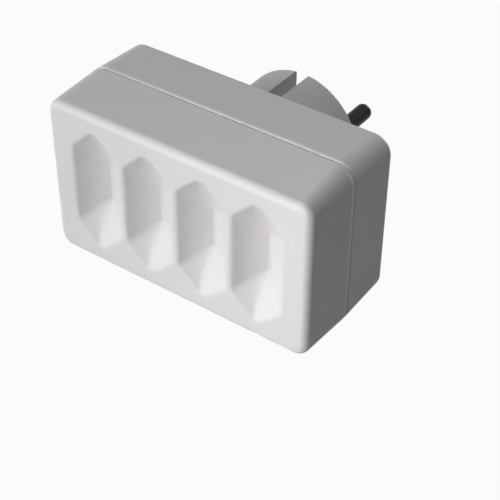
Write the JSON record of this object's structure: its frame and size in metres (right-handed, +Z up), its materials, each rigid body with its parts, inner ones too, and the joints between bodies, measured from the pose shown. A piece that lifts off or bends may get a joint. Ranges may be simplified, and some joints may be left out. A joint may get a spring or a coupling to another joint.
{
  "type": "multi socket adapter",
  "caption": "White wall adapter: a row of dished flat-plug sockets with safety shutters in front, and a round contour plug with bare pins behind.",
  "frame": {"origin": "centre of the plug's end face, on the plug's axis", "axes": "+Y out of the plug along its pins, +Z up, +X to the right as seen from the sockets"},
  "size_m": [0.0812, 0.0759, 0.0492],
  "materials": {
    "white_plastic": "white moulded, fine satin",
    "membrane_rubber": "soft white, slit",
    "shutter_plastic": "white moulded",
    "natural_plastic": "natural moulded",
    "pin_metal": "dark nickel plate",
    "brass_strip": "stamped",
    "clip_bronze": "formed strip",
    "rivet_brass": "peened",
    "spring_steel": "bright strip",
    "screw_steel": "zinc plated"
  },
  "bodies": {
    "case": {"front_cover": "white_plastic", "rear_housing": "white_plastic", "shutter_plate": "natural_plastic", "plug_pin_left": "pin_metal", "plug_pin_right": "pin_metal", "bus_bar_upper": "brass_strip", "bus_bar_lower": "brass_strip", "plate_screws": "screw_steel", "case_screws": "screw_steel", "contact_rivets_upper": "rivet_brass", "contact_rivets_lower": "rivet_brass", "pin_membrane_1": "membrane_rubber", "shutter_spring_1": "spring_steel", "contact_clip_upper_1": "clip_bronze", "contact_clip_lower_1": "clip_bronze", "pin_membrane_2": "membrane_rubber", "shutter_spring_2": "spring_steel", "contact_clip_upper_2": "clip_bronze", "contact_clip_lower_2": "clip_bronze", "pin_membrane_3": "membrane_rubber", "shutter_spring_3": "spring_steel", "contact_clip_upper_3": "clip_bronze", "contact_clip_lower_3": "clip_bronze", "pin_membrane_4": "membrane_rubber", "shutter_spring_4": "spring_steel", "contact_clip_upper_4": "clip_bronze", "contact_clip_lower_4": "clip_bronze"},
    "shutter_1": {"shutter_1": "shutter_plastic"},
    "shutter_2": {"shutter_2": "shutter_plastic"},
    "shutter_3": {"shutter_3": "shutter_plastic"},
    "shutter_4": {"shutter_4": "shutter_plastic"}
  },
  "joints": [
    {"name": "shutter_slide_1", "type": "slide", "parent": "case", "child": "shutter_1", "axis": [0, 0, -1], "range_m": [0, 0.0052], "stiffness_N_per_m": 60, "springref_m": -0.004, "deforming": ["shutter_spring_1"]},
    {"name": "shutter_slide_2", "type": "slide", "parent": "case", "child": "shutter_2", "axis": [0, 0, -1], "range_m": [0, 0.0052], "stiffness_N_per_m": 60, "springref_m": -0.004, "deforming": ["shutter_spring_2"]},
    {"name": "shutter_slide_3", "type": "slide", "parent": "case", "child": "shutter_3", "axis": [0, 0, -1], "range_m": [0, 0.0052], "stiffness_N_per_m": 60, "springref_m": -0.004, "deforming": ["shutter_spring_3"]},
    {"name": "shutter_slide_4", "type": "slide", "parent": "case", "child": "shutter_4", "axis": [0, 0, -1], "range_m": [0, 0.0052], "stiffness_N_per_m": 60, "springref_m": -0.004, "deforming": ["shutter_spring_4"]}
  ]
}
